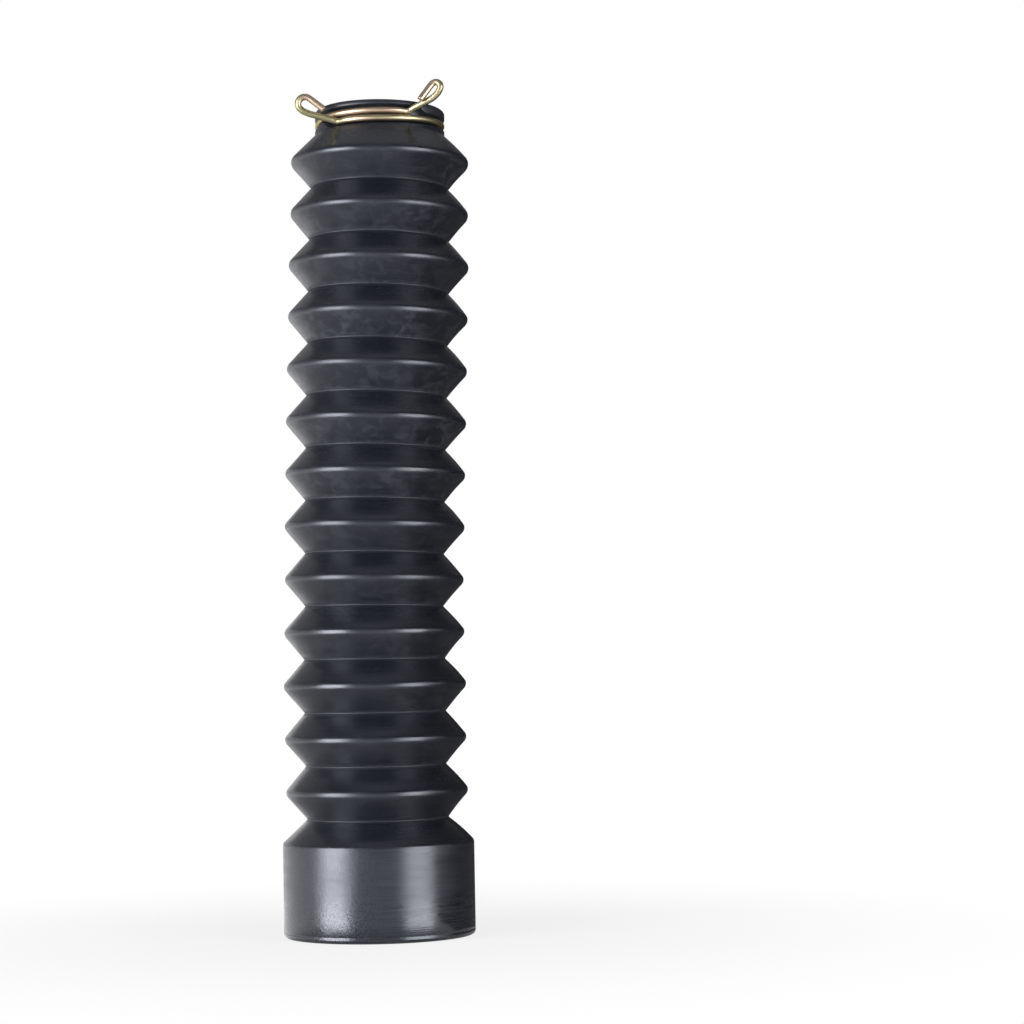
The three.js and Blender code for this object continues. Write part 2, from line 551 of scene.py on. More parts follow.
    def _roughness(self, sheet: Sheet, zones: RubberZones, texture: Socket) -> Socket:
        """Satin, with each zone of the moulding a little duller or glossier.

        Args:
            sheet: The material.
            zones: Where it is looked at.
            texture: The surface's texture.

        Returns:
            The roughness.
        """
        smears = sheet.times(sheet.noise(zones.place, self.smears), 0.5)
        clouds = sheet.times(sheet.noise(zones.place, self.clouds), 0.5)
        patches = sheet.ramp(sheet.noise(zones.place, self.patches), self.patch_ramp)
        return sheet.plus(
            sheet.ramp(sheet.plus(smears, clouds), self.dull_ramp),
            sheet.times(sheet.times(zones.near, zones.crest), self.parting_dull),
            sheet.times(zones.cuff, sheet.ramp(zones.height, self.cuff_dull)),
            sheet.times(texture, self.texture_dull),
            sheet.times(zones.under, self.under_dull),
            sheet.ramp(zones.height, self.neck_dull),
            sheet.ramp(zones.edge, self.valley_dull),
            sheet.times(sheet.times(patches, zones.crest), self.crest_dull),
        )

    def _relief(self, sheet: Sheet, zones: RubberZones) -> Socket:
        """Pebbles, tool lines, grain and the parting line's ridge, from coarse to fine.

        Args:
            sheet: The material.
            zones: Where it is looked at.

        Returns:
            The normal.
        """
        turned = sheet.reckon("SUBTRACT", self.hairline_reach, zones.left)
        rough = sheet.plus(sheet.times(zones.near, zones.crest), self.grain_least)
        normal = sheet.bump(sheet.times(zones.pebble, zones.grained_cuff), self.pebble_depth)
        normal = sheet.bump(sheet.times(zones.hairlines, turned), self.hairline_depth, normal)
        normal = sheet.bump(sheet.times(zones.grain, rough), self.grain_depth, normal)
        return sheet.bump(zones.ridge, self.ridge_depth, normal)

    def material(self) -> bpy.types.Material:
        """Builds the material.

        Returns:
            The material.
        """
        sheet = Sheet("moulded_rubber")
        zones = self._zones(sheet)
        texture = self._texture(sheet, zones)
        sheet.set("Base Color", self._colour(sheet, zones, texture))
        sheet.set("Roughness", self._roughness(sheet, zones, texture))
        sheet.set("Normal", self._relief(sheet, zones))
        sheet.set("Specular IOR Level", self.specular)
        sheet.set("Specular Tint", self.gloss_tint)
        return sheet.material


@dataclass(frozen=True)
class PlatedWire:
    """Yellow-passivated zinc on spring wire: gold, with olive and pink as the film's thickness changes."""

    gold: Colour = (0.43, 0.375, 0.24, 1)
    olive: Colour = (0.28, 0.265, 0.14, 1)
    pink: Colour = (0.50, 0.365, 0.285, 1)
    bright: Colour = (0.58, 0.54, 0.43, 1)
    rim_tint: Colour = (0.80, 0.77, 0.42, 1)
    patches: Pattern = Pattern((0.12, 0.5, 0.5), 3, 0.55, 0.5)
    olive_ramp: Ramp = Ramp(0.42, 0.62, 0, 0.85)
    tint: Pattern = Pattern((0.05, 0.35, 0.35), 2)
    pink_ramp: Ramp = Ramp(0.56, 0.7, 0, 0.8)
    lines: Pattern = Pattern((0.12, 7.0, 7.0), 3, 0.6)
    line_share: float = 0.6
    line_depth: float = 0.00001
    specks: Pattern = Pattern((2.6, 2.6, 2.6), 3, 0.6)
    bright_ramp: Ramp = Ramp(0.52, 0.74, 0, 0.25)
    speck_share: float = 0.4
    speck_depth: float = 0.000008
    wear_ramp: Ramp = Ramp(0.3, 0.7, 0.33, 0.48)

    def material(self) -> bpy.types.Material:
        """Builds the material. It reads the wire's place as if it were straight, in millimetres.

        Returns:
            The material.
        """
        sheet = Sheet("plated_wire")
        place = sheet.attribute("drawn", "Vector")
        patches = sheet.ramp(sheet.noise(place, self.patches), self.olive_ramp)
        tint = sheet.ramp(sheet.noise(place, self.tint), self.pink_ramp)
        lines = sheet.noise(place, self.lines)
        specks = sheet.noise(place, self.specks)
        blush = sheet.reckon("MAXIMUM", tint, sheet.attribute("thin_film"))
        colour = sheet.blend(patches, self.gold, self.olive)
        colour = sheet.blend(blush, colour, self.pink)
        colour = sheet.blend(sheet.ramp(specks, self.bright_ramp), colour, self.bright)
        wear = sheet.plus(sheet.times(lines, self.line_share), sheet.times(specks, self.speck_share))
        sheet.set("Base Color", colour)
        sheet.set("Roughness", sheet.ramp(wear, self.wear_ramp))
        sheet.set("Normal", sheet.bump(specks, self.speck_depth, sheet.bump(lines, self.line_depth)))
        sheet.set("Metallic", 1.0)
        sheet.set("Specular Tint", self.rim_tint)
        return sheet.material


@dataclass(frozen=True)
class StudioFloor:
    """Matt white floor with a soft shadow near the object, which fades into white surroundings.

    Its reflection in the object is a glow, darker near the object as a painted shadow and paler
    further out, and the lamps stand mirrored in it where a reflection grazes it.
    """

    paint: Colour = (0.80, 0.80, 0.80, 1)
    matt: float = 0.9
    specular: float = 0.1
    shade: Ramp = Ramp(0.03, 0.24, 0.81, 1)
    # Glow seen in reflections, by metres from the middle: darker near the object as a painted shadow.
    reflected_glow_with_painted_shadow: Ramp = Ramp(0.04, 0.24, 0.24, 0.55)
    polish: float = 0.05
    grazing: Ramp = Ramp(0.52, 0.78)

    def _white(self, sheet: Sheet, path: bpy.types.Node) -> Socket:
        """Plain paint for the light that the floor throws back, white where the camera looks at it, and in
        reflections and through glass a glow that is darker near the object, a painted shadow.

        Args:
            sheet: The material.
            path: Its Light Path node.

        Returns:
            The shader's output.
        """
        seen = sheet.reckon("MAXIMUM", path.outputs["Is Camera Ray"], path.outputs["Is Glossy Ray"])
        seen = sheet.reckon("MAXIMUM", seen, path.outputs["Is Transmission Ray"])
        reach = sheet.node("ShaderNodeVectorMath")
        reach.operation = "LENGTH"
        sheet.link(sheet.node("ShaderNodeTexCoord").outputs["Object"], reach.inputs[0])
        shade = sheet.ramp(reach.outputs["Value"], self.shade)
        # Painted shadow: in reflections the floor glows less near the object.
        reflected_glow_with_painted_shadow = sheet.ramp(reach.outputs["Value"], self.reflected_glow_with_painted_shadow)
        held = sheet.reckon("MAXIMUM", reflected_glow_with_painted_shadow, path.outputs["Is Camera Ray"])
        mix = sheet.node("ShaderNodeMixShader")
        sheet.link(sheet.times(seen, sheet.reckon("MINIMUM", shade, held)), mix.inputs["Fac"])
        sheet.link(sheet.shader.outputs["BSDF"], mix.inputs[1])
        sheet.link(sheet.node("ShaderNodeEmission").outputs["Emission"], mix.inputs[2])
        return mix.outputs["Shader"]

    def _mirror(self, sheet: Sheet, path: bpy.types.Node) -> Socket:
        """A polish that only grazing reflections meet.

        Args:
            sheet: The material.
            path: Its Light Path node.

        Returns:
            The shader's output.
        """
        polish = sheet.node("ShaderNodeBsdfAnisotropic")
        polish.inputs["Color"].default_value = WHITE
        polish.inputs["Roughness"].default_value = self.polish
        nothing = sheet.node("ShaderNodeBsdfDiffuse")
        nothing.inputs["Color"].default_value = BLACK
        facing = sheet.node("ShaderNodeLayerWeight").outputs["Facing"]
        share = sheet.times(path.outputs["Is Glossy Ray"], sheet.ramp(facing, self.grazing))
        mix = sheet.node("ShaderNodeMixShader")
        sheet.link(share, mix.inputs["Fac"])
        sheet.link(nothing.outputs["BSDF"], mix.inputs[1])
        sheet.link(polish.outputs["BSDF"], mix.inputs[2])
        return mix.outputs["Shader"]

    def material(self) -> bpy.types.Material:
        """Builds the material.

        Returns:
            The material.
        """
        sheet = Sheet("studio_floor")
        sheet.set("Base Color", self.paint)
        sheet.set("Roughness", self.matt)
        sheet.set("Specular IOR Level", self.specular)
        path = sheet.node("ShaderNodeLightPath")
        both = sheet.node("ShaderNodeAddShader")
        sheet.link(self._white(sheet, path), both.inputs[0])
        sheet.link(self._mirror(sheet, path), both.inputs[1])
        sheet.link(both.outputs["Shader"], sheet.output.inputs["Surface"])
        return sheet.material


def finished(bm: bmesh.types.BMesh, name: str, material: bpy.types.Material) -> bpy.types.Object:
    """Turns a bmesh in millimetres into an object in metres, at the origin.

    Args:
        bm: The mesh, which is freed.
        name: The object's name.
        material: Its only material.

    Returns:
        The object.
    """
    bmesh.ops.scale(bm, vec=(MM, MM, MM), verts=bm.verts)
    for face in bm.faces:
        face.smooth = True
    mesh = bpy.data.meshes.new(name)
    bm.to_mesh(mesh)
    bm.free()
    piece = bpy.data.objects.new(name, mesh)
    bpy.context.scene.collection.objects.link(piece)
    mesh.materials.append(material)
    return piece


@dataclass(frozen=True)
class Ripple:
    """A small swelling that comes and goes from fold to fold."""

    depth: float
    beat: float
    phase: float = 0.0

    def at(self, fold: float, turn: float = 0.0) -> float:
        """The swelling at a fold, and at a turn round it in radians."""
        return self.depth * math.sin(turn + self.beat * fold + self.phase)


@dataclass
class RubberGaiter:
    """The one-piece moulding: cuff, folds, and the neck with its groove and rim."""

    stance: Stance
    seat: ClipSeat
    cuff_radius: float = 30.5
    cuff_wall: float = 2.5
    cuff_height: float = 29.7
    foot_fillet: float = 1.3
    foot_line: float = 1.9
    foot_line_depth: float = 0.11
    foot_line_half: float = 0.2
    shoulder_fillet: float = 1.4
    shoulder_rise: float = 7.45
    fold_count: int = 13
    fold_pitch: float = 16.88
    crest_radius: float = 29.6
    valley_radius: float = 22.35
    fold_wall: float = 1.8
    crest_fillet: float = 2.1
    valley_fillet: float = 0.3
    top_cone_rise: float = 8.72
    neck_height: float = 8.25
    neck_bore: float = 16.0
    bore_length: float = 9.0
    neck_fillet: float = 0.5
    lip_fillet: float = 0.2
    rim_fillet: float = 1.2
    mouth_fillet: float = 0.6
    inner_foot_fillet: float = 0.3
    inner_crest_fillet: float = 0.4
    inner_shoulder_fillet: float = 0.6

    cone_length: float = 3.2
    cone_cuts: int = 4
    outside_margin: float = 1.6
    steps: int = 180
    merge_distance: float = 0.0001

    shoulder_swell: float = 0.4
    lower_swell: float = -0.34
    upper_swell: float = 0.42
    least_swell: float = 0.45
    swell_beat: float = 2.1
    swell_turn: float = 1.3
    ripples: tuple[Ripple, ...] = (Ripple(0.16, 0.85, 0.6), Ripple(0.09, 2.3, 2.0))
    oval: Ripple = Ripple(0.10, 1.7)
    ripple_rise: float = 12.0
    ripple_fade_start: float = 240.0
    ripple_fade_end: float = 256.0

    parting_azimuth: float = 4.0
    parting_step: float = 0.03
    parting_half: float = 0.5
    valley_margin: float = 0.2
    lowest_margin: float = 1.0
    highest_margin: float = 2.0
    cuff_blend: float = 1.0
    edge_power: int = 3
    under_gain: float = 1.5
    groove_reach: float = 0.4
    groove_margin: float = 0.3

    @property
    def first_valley(self) -> float:
        """Height of the lowest valley, where the cuff's shoulder ends."""
        return self.cuff_height + self.shoulder_rise

    @property
    def neck_base(self) -> float:
        """Height where the top cone meets the neck."""
        return self.first_valley + self.fold_pitch * (self.fold_count - 0.5) + self.top_cone_rise

    @property
    def top(self) -> float:
        """Height of the rim."""
        return self.neck_base + self.neck_height

    def _wall_across(self) -> float:
        """The folds' wall measured level, from outer face to inner face."""
        half = self.fold_pitch / 2
        return self.fold_wall * math.hypot(half, self.crest_radius - self.valley_radius) / half

    def _cuff_corners(self) -> list[tuple[float, float, float, int]]:
        """The section's corners up the outside of the cuff, to the first valley.

        Returns:
            Radius, height, fillet and arc segments of each corner.
        """
        return [
            (self.cuff_radius - self.cuff_wall, 0, self.inner_foot_fillet, 2),
            (self.cuff_radius, 0, self.foot_fillet, 6),
            (self.cuff_radius, self.foot_line - self.foot_line_half, 0, 0),
            (self.cuff_radius - self.foot_line_depth, self.foot_line, 0, 0),
            (self.cuff_radius, self.foot_line + self.foot_line_half, 0, 0),
            (self.cuff_radius, self.cuff_height, self.shoulder_fillet, 4),
            (self.valley_radius, self.first_valley, self.valley_fillet, 3),
        ]

    def _neck_corners(self) -> list[tuple[float, float, float, int]]:
        """The section's corners up the outside of the neck, over its rim and down its bore.

        Returns:
            Radius, height, fillet and arc segments of each corner.
        """
        seat = self.seat
        lip = seat.groove_half + seat.lip_run
        return [
            (seat.neck_radius, self.neck_base, self.neck_fillet, 3),
            (seat.neck_radius, seat.coil_height - lip, self.lip_fillet, 2),
            (seat.groove_radius, seat.coil_height - seat.groove_half, 0, 0),
            (seat.groove_radius, seat.coil_height + seat.groove_half, 0, 0),
            (seat.neck_radius, seat.coil_height + lip, self.lip_fillet, 2),
            (seat.neck_radius, self.top, self.rim_fillet, 6),
            (self.neck_bore, self.top, self.mouth_fillet, 4),
            (self.neck_bore, self.top - self.bore_length, 0, 0),
        ]

    def _section(self) -> list[tuple[float, float, float, int]]:
        """The section's corners, up the outside and back down the inside.

        Returns:
            Radius, height, fillet and arc segments of each corner.
        """
        across = self._wall_across()
        half = self.fold_pitch / 2
        crests = [self.first_valley + self.fold_pitch * (fold + 0.5) for fold in range(self.fold_count)]
        corners = self._cuff_corners()
        for crest in crests:
            corners.append((self.crest_radius, crest, self.crest_fillet, 7))
            if crest != crests[-1]:
                corners.append((self.valley_radius, crest + half, self.valley_fillet, 3))
        corners += self._neck_corners()
        for crest in reversed(crests):
            corners.append((self.crest_radius - across, crest, self.inner_crest_fillet, 2))
            corners.append((self.valley_radius - across, crest - half, self.fold_wall, 3))
        drop = self.shoulder_rise / (self.cuff_radius - self.valley_radius)
        shoulder = self.cuff_height + drop * self.cuff_wall - self.fold_wall * math.hypot(1, drop)
        corners.append((self.cuff_radius - self.cuff_wall, shoulder, self.inner_shoulder_fillet, 2))
        return corners

    def _outline(self, bm: bmesh.types.BMesh) -> None:
        """Draws the section as a closed loop in the XZ plane, with its corners rounded by bevels.

        Args:
            bm: The mesh that the loop is drawn in.
        """
        corners = self._section()
        points = [bm.verts.new((radius, 0, height)) for radius, height, _, _ in corners]
        for a, b in zip(points, points[1:] + points[:1]):
            bm.edges.new((a, b))
        rounded = []
        for i, (_, _, fillet, segments) in enumerate(corners):
            if fillet:
                inward = (points[i - 1].co - points[i].co).normalized()
                onward = (points[(i + 1) % len(points)].co - points[i].co).normalized()
                rounded.append((points[i], fillet / math.tan(inward.angle(onward) / 2), segments))
        for point, reach, segments in rounded:
            bmesh.ops.bevel(
                bm, geom=[point], offset=reach, affect="VERTICES",
                segments=segments, profile=0.5, material=-1,
            )
        outside = self.valley_radius - self.outside_margin
        cones = [
            edge for edge in bm.edges
            if edge.calc_length() > self.cone_length and edge.verts[0].co.x > outside
        ]
        bmesh.ops.subdivide_edges(bm, edges=cones, cuts=self.cone_cuts)

    def _swell(self, azimuth: float, radius: float, height: float) -> float:
        """How far a fold's cone is swollen or drawn in, because soft folds don't stand quite straight.

        Args:
            azimuth: Degrees from the front.
            radius: The point's radius.
            height: Its height.

        Returns:
            Millimetres outwards.
        """
        fold = (height - self.first_valley) / self.fold_pitch
        side = math.sin(math.radians(azimuth))
        if radius < self.valley_radius or fold > self.fold_count:
            return 0.0
        if fold < 0:
            share = min(-fold * self.fold_pitch / self.shoulder_rise, 1)
            return self.shoulder_swell * math.sin(math.pi * share) * max(side, 0)
        cone, share = divmod((fold % 1) * 2, 1)
        soft = 0.5 + 0.5 * math.sin(self.swell_beat * fold + self.swell_turn * side)
        depth = self.upper_swell if cone else self.lower_swell
        strength = self.least_swell + (1 - self.least_swell) * soft
        return depth * math.sin(math.pi * share) * max(side, 0) * strength

    def _ripple(self, azimuth: float, height: float) -> float:
        """How far a whole fold stands out or in, fold by fold.

        Args:
            azimuth: Degrees from the front.
            height: The point's height.

        Returns:
            Millimetres outwards.
        """
        fold = (height - self.first_valley) / self.fold_pitch
        fold = min(max(fold, 0), self.fold_count)
        depth = sum(ripple.at(fold) for ripple in self.ripples)
        depth += self.oval.at(fold, math.radians(2 * azimuth))
        rise = eased(height, self.cuff_height, self.cuff_height + self.ripple_rise)
        return depth * rise * (1 - eased(height, self.ripple_fade_start, self.ripple_fade_end))

    def _mould(self, bm: bmesh.types.BMesh) -> None:
        """Gives the spun section its attributes, its groove, its small irregularities and its stance.

        Args:
            bm: The spun mesh.
        """
        seat = self.seat
        unbent = bm.verts.layers.float_vector.new("unbent")
        parting = bm.verts.layers.float.new("parting")
        fold_edge = bm.verts.layers.float.new("fold_edge")
        cuff = bm.verts.layers.float.new("cuff")
        under = bm.verts.layers.float.new("underside")
        bm.normal_update()
        plane = math.radians(self.parting_azimuth)
        middle = (self.crest_radius + self.valley_radius) / 2
        half = (self.crest_radius - self.valley_radius) / 2
        lowest = self.first_valley - self.lowest_margin
        highest = self.neck_base - self.highest_margin
        cuff_edge = self.cuff_height
        groove_half = seat.groove_half + seat.lip_run + self.groove_reach
        groove_floor = seat.groove_radius - self.groove_margin
        groove_brim = seat.neck_radius + self.groove_margin
        for vert in bm.verts:
            point = vert.co.copy()
            radius = math.hypot(point.x, point.y)
            azimuth = math.degrees(math.atan2(point.x, -point.y))
            distance = point.x * math.cos(plane) + point.y * math.sin(plane)
            outside = radius > self.valley_radius - self.valley_margin
            if outside and lowest < point.z < highest:
                vert[fold_edge] = max(-1, min(1, (radius - middle) / half)) ** self.edge_power
                vert[under] = min(max(-self.under_gain * vert.normal.z, 0), 1)
            vert[cuff] = 1 - eased(point.z, cuff_edge - self.cuff_blend, cuff_edge + self.cuff_blend)
            push = self._swell(azimuth, radius, point.z) + self._ripple(azimuth, point.z)
            if outside:
                step = eased(distance, -self.parting_half, self.parting_half) - 0.5
                push += self.parting_step * step
            if groove_floor < radius < groove_brim and abs(point.z - seat.coil_height) < groove_half:
                lower, upper = seat.lips(azimuth)
                point.z += lower if point.z < seat.coil_height else upper
            point.x *= 1 + push / radius
            point.y *= 1 + push / radius
            vert[unbent] = point
            vert[parting] = distance
            vert.co = self.stance.settle(point)

    def build(self, finish: MouldedRubber) -> bpy.types.Object:
        """Makes the gaiter.

        Args:
            finish: The rubber.

        Returns:
            The piece, riding on the part and standing for its solid.
        """
        bm = bmesh.new()
        self._outline(bm)
        bmesh.ops.spin(
            bm, geom=bm.verts[:] + bm.edges[:], cent=(0, 0, 0), axis=(0, 0, 1),
            angle=2 * math.pi, steps=self.steps, use_merge=True,
        )
        bmesh.ops.remove_doubles(bm, verts=bm.verts, dist=self.merge_distance)
        bmesh.ops.recalc_face_normals(bm, faces=bm.faces)
        self._mould(bm)
        piece = finished(bm, "moulded_gaiter", finish.material())
        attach(piece, "root")
        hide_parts("rubber_gaiter")
        return piece


class Hand(Enum):
    """Which way an ear points, as the sign of its azimuth."""

    LEFT = -1
    RIGHT = 1


@dataclass(frozen=True)
class Ear:
    """One looped ear: a leg, a knee and a short shank, the eye's arc, and the tail that comes back."""

    hand: Hand
    heading: float
    rise: float
    knee: float
    turn: float
    lean: float
    splay: float
    leg: float
    shank: float
    eye: float
    tail: float
    leg_shares: tuple[float, ...] = (0.25, 0.55, 0.85)
    shank_share: float = 0.4
    arc_steps: int = 8
    tail_shares: tuple[float, ...] = (0.3, 0.65, 1)

    def points(self, root: Vector) -> list[Vector]:
        """The ear's centreline, from its root outwards.

        Args:
            root: Where the ear leaves the coil.

        Returns:
            The points that the wire is drawn through.
        """
        side = self.hand.value
        heading, rise, turn = (math.radians(angle) for angle in (self.heading, self.rise, self.turn))
        steep = rise + math.radians(self.knee)
        spread = math.tan(math.radians(self.splay))
        level = Vector((math.sin(heading), -math.cos(heading), 0))
        back = UP.cross(level) * side
        leg = level * math.cos(rise) + UP * math.sin(rise)
        shank = level * math.cos(steep) + UP * math.sin(steep)
        tilt = Matrix.Rotation(-side * math.radians(self.lean), 3, shank)
        across = tilt @ (shank.cross(back) * side)
        front = shank.cross(across) * side
        knee = root + leg * self.leg
        centre = knee + shank * self.shank + across * self.eye
        eye = []
        for step in range(self.arc_steps + 1):
            share = step / self.arc_steps
            bend = turn * share
            drift = 0.5 * self.eye * turn * spread * share * share
            low = across * self.eye * math.cos(bend)
            ahead = shank * self.eye * math.sin(bend)
            eye.append(centre - low + ahead + front * drift)
        homeward = (shank * math.cos(turn) + across * math.sin(turn) + front * spread).normalized()
        points = [root + leg * self.leg * share for share in self.leg_shares]
        points.append(knee + shank * self.shank * self.shank_share)
        return points + eye + [eye[-1] + homeward * self.tail * share for share in self.tail_shares]


@dataclass
class WireClip:
    """The sprung wire clip: a bit more than one turn, and two looped ears."""

    stance: Stance
    seat: ClipSeat
    left: Ear = Ear(
        Hand.LEFT, heading=-80, rise=13.5, knee=25, turn=178, lean=-7.3, splay=4.5,
        leg=10.8, shank=1.7, eye=2.2, tail=5.9,
    )
    right: Ear = Ear(
        Hand.RIGHT, heading=70, rise=22, knee=34.7, turn=185, lean=7.7, splay=19.5,
        leg=10.2, shank=2.6, eye=1.52, tail=6.2,
    )
    coil_steps: int = 44
    span_steps: int = 12
    sides: int = 20
    spacing: float = 0.42
    end_fillet: float = 0.14
    film: float = 0.85
    tail_film_start: float = 6.0
    tail_film_end: float = 11.0
    run_film: tuple[float, float, float, float] = (23.0, 26.0, 48.0, 60.0)

    def _stations(self) -> list[Vector]:
        """The points that the wire is drawn through, on the leaning gaiter.

        Returns:
            The points.
        """
        seat = self.seat
        sweep = seat.coil_end - seat.coil_start
        shares = [sweep * i / self.coil_steps for i in range(self.coil_steps + 1)]
        coil = [seat.on_coil(seat.coil_start + share) for share in shares]
        points = self.left.points(coil[0])[::-1] + coil + self.right.points(coil[-1])
        return [self.stance.settle(point) for point in points]

    def _span(self, a: Vector, b: Vector, c: Vector, d: Vector) -> list[Vector]:
        """A smooth curve from the second of four stations to just before the third.

        Args:
            a: The station before the span.
            b: Where the span starts.
            c: Where it ends.
            d: The station after it.

        Returns:
            The span's points.
        """
        t1 = math.sqrt((b - a).length)
        t2 = t1 + math.sqrt((c - b).length)
        t3 = t2 + math.sqrt((d - c).length)
        points = []
        for i in range(self.span_steps):
            t = t1 + (t2 - t1) * i / self.span_steps
            ab = a.lerp(b, t / t1)
            bc = b.lerp(c, (t - t1) / (t2 - t1))
            cd = c.lerp(d, (t - t2) / (t3 - t2))
            abc = ab.lerp(bc, t / t2)
            bcd = bc.lerp(cd, (t - t1) / (t3 - t1))
            points.append(abc.lerp(bcd, (t - t1) / (t2 - t1)))
        return points

    def _centreline(self) -> list[Vector]:
        """A smooth curve through the stations, as evenly spaced points.

        Returns:
            The points.
        """
        stations = self._stations()
        before = 2 * stations[0] - stations[1]
        after = 2 * stations[-1] - stations[-2]
        knots = [before] + stations + [after]
        fine = []
        for four in zip(knots, knots[1:], knots[2:], knots[3:]):
            fine += self._span(*four)
        fine.append(stations[-1])
        even, spare = [fine[0]], 0.0
        for a, b in zip(fine, fine[1:]):
            length = (b - a).length
            reach = self.spacing - spare
            while reach <= length:
                even.append(a.lerp(b, reach / length))
                reach += self.spacing
            spare = length - (reach - self.spacing)
        return even

    def _thin_film(self, start: float, end: float) -> float:
        """How thin, and so how pink, the plating's film is: on both tails and the coil's last run.

        Args:
            start: Millimetres along the wire from its left end.
            end: Millimetres along the wire from its right end.

        Returns:
            A share between 0 and 1.
        """
        tails = 1 - eased(min(start, end), self.tail_film_start, self.tail_film_end)
        run = eased(end, *self.run_film[:2]) * (1 - eased(end, *self.run_film[2:]))
        return self.film * max(tails, run)

    def _draw(self, bm: bmesh.types.BMesh, path: list[Vector]) -> None:
        """Draws the wire's round section along the path, and closes its cut ends.

        Args:
            bm: The mesh.
            path: The centreline's points.
        """
        drawn = bm.verts.layers.float_vector.new("drawn")
        film = bm.verts.layers.float.new("thin_film")
        total = self.spacing * (len(path) - 1)
        tangent = (path[1] - path[0]).normalized()
        normal = tangent.orthogonal().normalized()
        turn = Matrix((normal, tangent.cross(normal), tangent)).transposed().to_4x4()
        ring = bmesh.ops.create_circle(
            bm, cap_ends=False, segments=self.sides, radius=self.seat.wire_radius,
            matrix=Matrix.Translation(path[0]) @ turn,
        )["verts"]
        for vert in ring:
            local = turn.inverted() @ (vert.co - path[0])
            vert[drawn] = (0, local.x, local.y)
            vert[film] = self._thin_film(0, total)
        first_rim = list({edge for vert in ring for edge in vert.link_edges})
        rim = first_rim
        for step in range(1, len(path)):
            ahead = (path[min(step + 1, len(path) - 1)] - path[step - 1]).normalized()
            swing = tangent.rotation_difference(ahead)
            tangent = ahead
            made = bmesh.ops.extrude_edge_only(bm, edges=rim)["geom"]
            ring = [item for item in made if isinstance(item, bmesh.types.BMVert)]
            rim = [item for item in made if isinstance(item, bmesh.types.BMEdge)]
            bmesh.ops.translate(bm, verts=ring, vec=path[step] - path[step - 1])
            bmesh.ops.rotate(bm, verts=ring, cent=path[step], matrix=swing.to_matrix())
            for vert in ring:
                vert[drawn].x += self.spacing
                vert[film] = self._thin_film(self.spacing * step, total - self.spacing * step)
        for edges in (first_rim, rim):
            bmesh.ops.edgeloop_fill(bm, edges=edges)
            bmesh.ops.bevel(
                bm, geom=edges, offset=self.end_fillet, offset_type="OFFSET", affect="EDGES",
                segments=2, profile=0.5, material=-1,
            )

    def build(self, finish: PlatedWire) -> bpy.types.Object:
        """Makes the clip.

        Args:
            finish: The plating.

        Returns:
            The piece, riding on the part and standing for its solid.
        """
        bm = bmesh.new()
        self._draw(bm, self._centreline())
        bmesh.ops.recalc_face_normals(bm, faces=bm.faces)
        piece = finished(bm, "spring_clip", finish.material())
        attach(piece, "root")
        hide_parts("wire_clip")
        return piece


@dataclass(frozen=True)
class Softbox:
    """One soft lamp that stands on the floor, placed by its bearing from the object."""

    name: str
    azimuth: float
    distance: float
    width: float
    height: float
    radiance: float
    foot: float = 0.005

    def build(self) -> None:
        """Makes the lamp, facing the object's axis."""
        lamp = bpy.data.lights.new(self.name, "AREA")
        lamp.shape = "RECTANGLE"
        lamp.size = self.width
        lamp.size_y = self.height
        lamp.energy = 4 * self.radiance * self.width * self.height
        holder = bpy.data.objects.new(self.name, lamp)
        bearing = math.radians(self.azimuth)
        away = Vector((math.sin(bearing), -math.cos(bearing), 0))
        holder.location = away * self.distance + UP * (self.foot + self.height / 2)
        holder.rotation_euler = away.to_track_quat("Z", "Y").to_euler()
        holder.visible_camera = False
        bpy.context.scene.collection.objects.link(holder)


